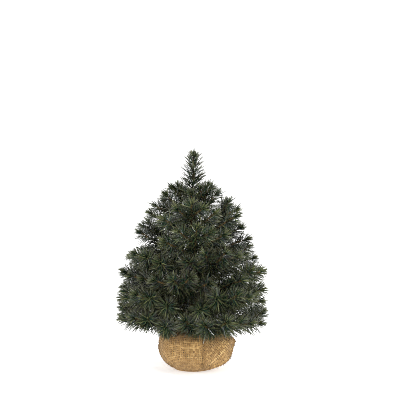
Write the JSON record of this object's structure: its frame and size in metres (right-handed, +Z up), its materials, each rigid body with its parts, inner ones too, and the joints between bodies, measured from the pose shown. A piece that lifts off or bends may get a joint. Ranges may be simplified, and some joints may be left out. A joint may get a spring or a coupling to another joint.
{
  "type": "artificial tabletop tree",
  "caption": "Small artificial fir tree with bendable wire branches on a taped pole, standing in a weighted pot wrapped in a gathered burlap bag.",
  "frame": {"origin": "centre of the flat bottom of the bag, on the ground under the pole", "axes": "+Z up along the pole to the leader, -Y towards the viewer in front, +X to the viewer's right"},
  "size_m": [0.316, 0.326, 0.45],
  "materials": {
    "needles": "satin PVC foil needles",
    "wire": "brown lacquered twisted steel wire",
    "tape": "wound brown paper tape",
    "pole_wood": "raw dowel",
    "burlap": "loose natural jute weave",
    "jute": "twisted jute twine",
    "pot": "moulded black plastic",
    "cement": "cast grey cement"
  },
  "bodies": {
    "base": {"cement_weight": "cement", "inner_pot": "pot", "burlap_bag": "burlap", "jute_tie": "jute", "pole": "pole_wood", "pole_tape": "tape"},
    "leader": {"leader_wire": "wire", "leader_needles": "needles"},
    "branch_1_1": {"branch_1_1_wire": "wire", "branch_1_1_needles": "needles"},
    "branch_1_2": {"branch_1_2_wire": "wire", "branch_1_2_needles": "needles"},
    "branch_1_3": {"branch_1_3_wire": "wire", "branch_1_3_needles": "needles"},
    "branch_1_4": {"branch_1_4_wire": "wire", "branch_1_4_needles": "needles"},
    "branch_1_5": {"branch_1_5_wire": "wire", "branch_1_5_needles": "needles"},
    "branch_2_1": {"branch_2_1_wire": "wire", "branch_2_1_needles": "needles"},
    "branch_2_2": {"branch_2_2_wire": "wire", "branch_2_2_needles": "needles"},
    "branch_2_3": {"branch_2_3_wire": "wire", "branch_2_3_needles": "needles"},
    "branch_2_4": {"branch_2_4_wire": "wire", "branch_2_4_needles": "needles"},
    "branch_2_5": {"branch_2_5_wire": "wire", "branch_2_5_needles": "needles"},
    "branch_3_1": {"branch_3_1_wire": "wire", "branch_3_1_needles": "needles"},
    "branch_3_2": {"branch_3_2_wire": "wire", "branch_3_2_needles": "needles"},
    "branch_3_3": {"branch_3_3_wire": "wire", "branch_3_3_needles": "needles"},
    "branch_3_4": {"branch_3_4_wire": "wire", "branch_3_4_needles": "needles"},
    "branch_4_1": {"branch_4_1_wire": "wire", "branch_4_1_needles": "needles"},
    "branch_4_2": {"branch_4_2_wire": "wire", "branch_4_2_needles": "needles"},
    "branch_4_3": {"branch_4_3_wire": "wire", "branch_4_3_needles": "needles"},
    "branch_4_4": {"branch_4_4_wire": "wire", "branch_4_4_needles": "needles"},
    "branch_5_1": {"branch_5_1_wire": "wire", "branch_5_1_needles": "needles"},
    "branch_5_2": {"branch_5_2_wire": "wire", "branch_5_2_needles": "needles"},
    "branch_5_3": {"branch_5_3_wire": "wire", "branch_5_3_needles": "needles"},
    "branch_6_1": {"branch_6_1_wire": "wire", "branch_6_1_needles": "needles"},
    "branch_6_2": {"branch_6_2_wire": "wire", "branch_6_2_needles": "needles"},
    "branch_6_3": {"branch_6_3_wire": "wire", "branch_6_3_needles": "needles"},
    "branch_7_1": {"branch_7_1_wire": "wire", "branch_7_1_needles": "needles"},
    "branch_7_2": {"branch_7_2_wire": "wire", "branch_7_2_needles": "needles"}
  },
  "joints": [
    {"name": "leader_bend", "type": "hinge", "parent": "base", "child": "leader", "pos_m": [0, 0, 0.322], "axis": [1, 0, 0], "range_deg": [-18, 18]},
    {"name": "branch_1_1_bend", "type": "hinge", "parent": "base", "child": "branch_1_1", "pos_m": [0.00999, 0.00324, 0.092], "axis": [0.3083, -0.9513, 0], "range_deg": [-12, 8]},
    {"name": "branch_1_2_bend", "type": "hinge", "parent": "base", "child": "branch_1_2", "pos_m": [0.00054, 0.01049, 0.092], "axis": [0.9987, -0.0515, 0], "range_deg": [-12, 8]},
    {"name": "branch_1_3_bend", "type": "hinge", "parent": "base", "child": "branch_1_3", "pos_m": [-0.00942, 0.00464, 0.092], "axis": [0.4423, 0.8969, 0], "range_deg": [-12, 8]},
    {"name": "branch_1_4_bend", "type": "hinge", "parent": "base", "child": "branch_1_4", "pos_m": [-0.00778, -0.00706, 0.092], "axis": [-0.672, 0.7406, 0], "range_deg": [-12, 8]},
    {"name": "branch_1_5_bend", "type": "hinge", "parent": "base", "child": "branch_1_5", "pos_m": [0.00447, -0.0095, 0.092], "axis": [-0.9048, -0.4259, 0], "range_deg": [-12, 8]},
    {"name": "branch_2_1_bend", "type": "hinge", "parent": "base", "child": "branch_2_1", "pos_m": [0.00623, -0.00845, 0.118], "axis": [-0.8047, -0.5936, 0], "range_deg": [-9, 8]},
    {"name": "branch_2_2_bend", "type": "hinge", "parent": "base", "child": "branch_2_2", "pos_m": [0.00997, 0.00331, 0.118], "axis": [0.3148, -0.9492, 0], "range_deg": [-9, 8]},
    {"name": "branch_2_3_bend", "type": "hinge", "parent": "base", "child": "branch_2_3", "pos_m": [0.00072, 0.01048, 0.118], "axis": [0.9977, -0.0681, 0], "range_deg": [-9, 8]},
    {"name": "branch_2_4_bend", "type": "hinge", "parent": "base", "child": "branch_2_4", "pos_m": [-0.00935, 0.00477, 0.118], "axis": [0.4542, 0.8909, 0], "range_deg": [-9, 8]},
    {"name": "branch_2_5_bend", "type": "hinge", "parent": "base", "child": "branch_2_5", "pos_m": [-0.00768, -0.00716, 0.118], "axis": [-0.6822, 0.7311, 0], "range_deg": [-9, 8]},
    {"name": "branch_3_1_bend", "type": "hinge", "parent": "base", "child": "branch_3_1", "pos_m": [0.01031, -0.00197, 0.148], "axis": [-0.1877, -0.9822, 0], "range_deg": [-8, 7]},
    {"name": "branch_3_2_bend", "type": "hinge", "parent": "base", "child": "branch_3_2", "pos_m": [0.00147, 0.0104, 0.148], "axis": [0.9902, -0.1397, 0], "range_deg": [-8, 7]},
    {"name": "branch_3_3_bend", "type": "hinge", "parent": "base", "child": "branch_3_3", "pos_m": [-0.01034, 0.00181, 0.148], "axis": [0.1721, 0.9851, 0], "range_deg": [-8, 7]},
    {"name": "branch_3_4_bend", "type": "hinge", "parent": "base", "child": "branch_3_4", "pos_m": [-0.00272, -0.01014, 0.148], "axis": [-0.966, 0.2587, 0], "range_deg": [-8, 7]},
    {"name": "branch_4_1_bend", "type": "hinge", "parent": "base", "child": "branch_4_1", "pos_m": [0.00508, -0.00919, 0.18], "axis": [-0.8751, -0.484, 0], "range_deg": [-8, 13]},
    {"name": "branch_4_2_bend", "type": "hinge", "parent": "base", "child": "branch_4_2", "pos_m": [0.00873, 0.00583, 0.18], "axis": [0.5553, -0.8317, 0], "range_deg": [-8, 13]},
    {"name": "branch_4_3_bend", "type": "hinge", "parent": "base", "child": "branch_4_3", "pos_m": [-0.00599, 0.00862, 0.18], "axis": [0.8211, 0.5708, 0], "range_deg": [-8, 13]},
    {"name": "branch_4_4_bend", "type": "hinge", "parent": "base", "child": "branch_4_4", "pos_m": [-0.00897, -0.00546, 0.18], "axis": [-0.5202, 0.8541, 0], "range_deg": [-8, 13]},
    {"name": "branch_5_1_bend", "type": "hinge", "parent": "base", "child": "branch_5_1", "pos_m": [-0.00898, 0.00545, 0.214], "axis": [0.519, 0.8548, 0], "range_deg": [-14, 13]},
    {"name": "branch_5_2_bend", "type": "hinge", "parent": "base", "child": "branch_5_2", "pos_m": [0.00073, -0.01047, 0.214], "axis": [-0.9976, -0.0698, 0], "range_deg": [-14, 13]},
    {"name": "branch_5_3_bend", "type": "hinge", "parent": "base", "child": "branch_5_3", "pos_m": [0.00831, 0.00642, 0.214], "axis": [0.6116, -0.7912, 0], "range_deg": [-14, 13]},
    {"name": "branch_6_1_bend", "type": "hinge", "parent": "base", "child": "branch_6_1", "pos_m": [0.00996, 0.00334, 0.25], "axis": [0.318, -0.9481, 0], "range_deg": [-14, 8]},
    {"name": "branch_6_2_bend", "type": "hinge", "parent": "base", "child": "branch_6_2", "pos_m": [-0.00835, 0.00637, 0.25], "axis": [0.6067, 0.7949, 0], "range_deg": [-14, 8]},
    {"name": "branch_6_3_bend", "type": "hinge", "parent": "base", "child": "branch_6_3", "pos_m": [-0.0004, -0.01049, 0.25], "axis": [-0.9993, 0.0381, 0], "range_deg": [-14, 8]},
    {"name": "branch_7_1_bend", "type": "hinge", "parent": "base", "child": "branch_7_1", "pos_m": [-0.00817, 0.0066, 0.286], "axis": [0.6285, 0.7778, 0], "range_deg": [-14, 8]},
    {"name": "branch_7_2_bend", "type": "hinge", "parent": "base", "child": "branch_7_2", "pos_m": [0.00835, -0.00636, 0.286], "axis": [-0.6057, -0.7957, 0], "range_deg": [-14, 8]}
  ]
}
